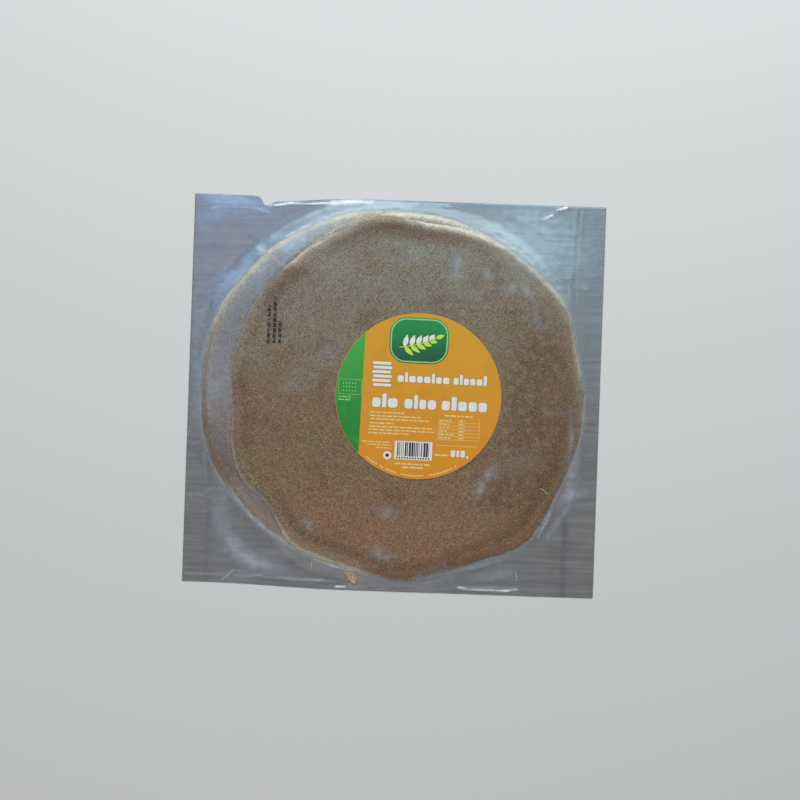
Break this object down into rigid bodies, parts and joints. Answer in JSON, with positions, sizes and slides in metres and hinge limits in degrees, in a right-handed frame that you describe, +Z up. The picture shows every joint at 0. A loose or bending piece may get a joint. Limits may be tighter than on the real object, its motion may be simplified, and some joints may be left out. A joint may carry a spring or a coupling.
{
  "type": "pack of buckwheat crepes",
  "caption": "Thin round buckwheat crepes stacked flat in a clear film bag, with a round paper label on top.",
  "frame": {"origin": "middle of the bag, on the surface that the pack lies on", "axes": "+X to the pack's right and along its longer side, +Y to its top edge as the label reads, +Z up out of the label"},
  "size_m": [0.37, 0.352, 0.0081],
  "materials": {
    "film": "clear, glossy, softly wrinkled",
    "crepe": "matt, finely porous brown buckwheat crepe",
    "label_paper": "smooth coated paper",
    "label_print": "printed, satin"
  },
  "bodies": {
    "root": {"film_bag": "film", "label": "label_paper"}
  },
  "joints": []
}
